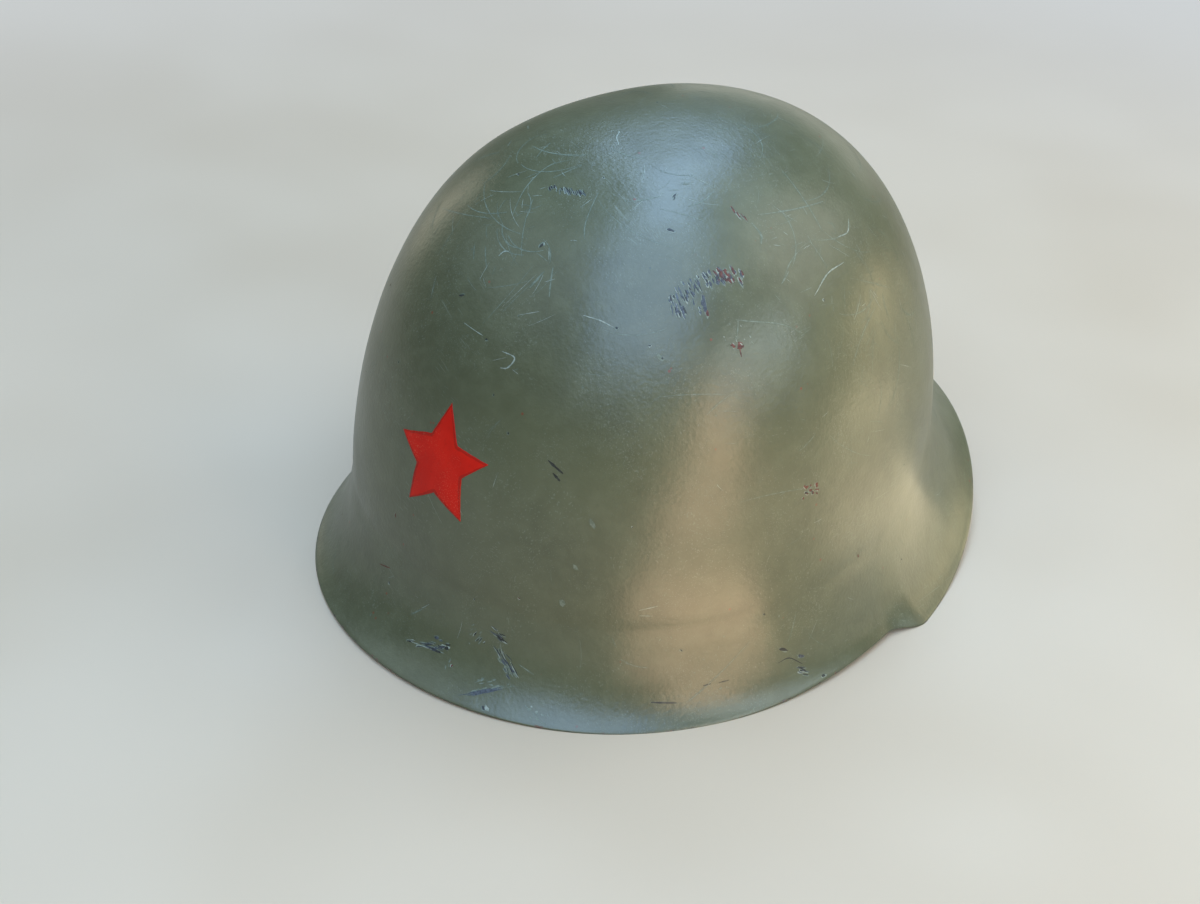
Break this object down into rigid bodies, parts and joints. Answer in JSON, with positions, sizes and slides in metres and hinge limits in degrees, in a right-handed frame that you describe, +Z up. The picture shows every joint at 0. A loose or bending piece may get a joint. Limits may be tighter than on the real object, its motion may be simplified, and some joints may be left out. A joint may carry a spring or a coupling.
{
  "type": "combat helmet",
  "caption": "Pressed steel combat helmet with flared brim and skirt, red star in front, a hoop-hung leather and felt liner inside, and an open chin strap with a roller buckle.",
  "frame": {"origin": "centre of the bounding box's foot, on the surface that the helmet stands on", "axes": "+Z up, -Y towards the front of the helmet (the star's side), +X towards the wearer's left"},
  "size_m": [0.2336, 0.286, 0.1734],
  "materials": {
    "shell_paint": "satin olive grey-green paint, worn and scratched",
    "star_paint": "satin red paint",
    "liner_paint": "thin dark paint",
    "bare_steel": "dull zinc-plated steel",
    "pad_felt": "grey wool felt",
    "band_leather": "dark brown leather, sewn",
    "tongue_leather": "brown leather",
    "lace_cotton": "braided cotton cord",
    "strap_leather": "brown strap leather"
  },
  "bodies": {
    "helmet": {"steel_shell": "shell_paint", "star_emblem": "star_paint", "hoop_bracket_front_left": "liner_paint", "hoop_bracket_front_right": "liner_paint", "hoop_bracket_rear_left": "liner_paint", "hoop_bracket_rear_right": "liner_paint", "liner_hoop": "liner_paint", "hoop_rivets": "bare_steel", "forehead_pad": "pad_felt", "nape_pad": "pad_felt", "temple_pad_left": "pad_felt", "temple_pad_right": "pad_felt", "sweatband": "band_leather", "crown_tongue_1": "tongue_leather", "crown_tongue_2": "tongue_leather", "crown_tongue_3": "tongue_leather", "crown_tongue_4": "tongue_leather", "crown_tongue_5": "tongue_leather", "crown_tongue_6": "tongue_leather", "crown_lace": "lace_cotton", "strap_plate_left": "liner_paint", "strap_plate_right": "liner_paint", "pivot_stud_left": "bare_steel", "pivot_stud_right": "bare_steel"},
    "left_strap": {"strap_lug_left": "bare_steel", "buckle_strap": "strap_leather", "strap_rivets_left": "bare_steel", "buckle_frame": "bare_steel"},
    "right_strap": {"strap_lug_right": "bare_steel", "hole_strap": "strap_leather", "strap_rivets_right": "bare_steel"},
    "roller": {"buckle_roller": "bare_steel"},
    "prong": {"buckle_prong": "bare_steel"},
    "keeper": {"strap_keeper": "strap_leather"}
  },
  "joints": [
    {"name": "left_strap_swing", "type": "hinge", "parent": "helmet", "child": "left_strap", "pos_m": [0.09501, -0.01445, 0.03974], "axis": [-1, 0, 0], "range_deg": [-18, 140]},
    {"name": "right_strap_swing", "type": "hinge", "parent": "helmet", "child": "right_strap", "pos_m": [-0.09501, -0.01445, 0.03974], "axis": [-1, 0, 0], "range_deg": [-20, 150]},
    {"name": "prong_swing", "type": "hinge", "parent": "left_strap", "child": "prong", "pos_m": [0.02725, 0.08657, 0.01428], "axis": [0, -0.2445, -0.9697], "range_deg": [0, 105]},
    {"name": "roller_spin", "type": "hinge", "parent": "left_strap", "child": "roller", "pos_m": [0.01332, 0.09602, 0.01189], "axis": [0, 0.2445, 0.9697], "continuous": true},
    {"name": "keeper_slide", "type": "slide", "parent": "left_strap", "child": "keeper", "axis": [-0.8192, 0.5562, -0.1402], "range_m": [-0.004, 0.008]}
  ]
}
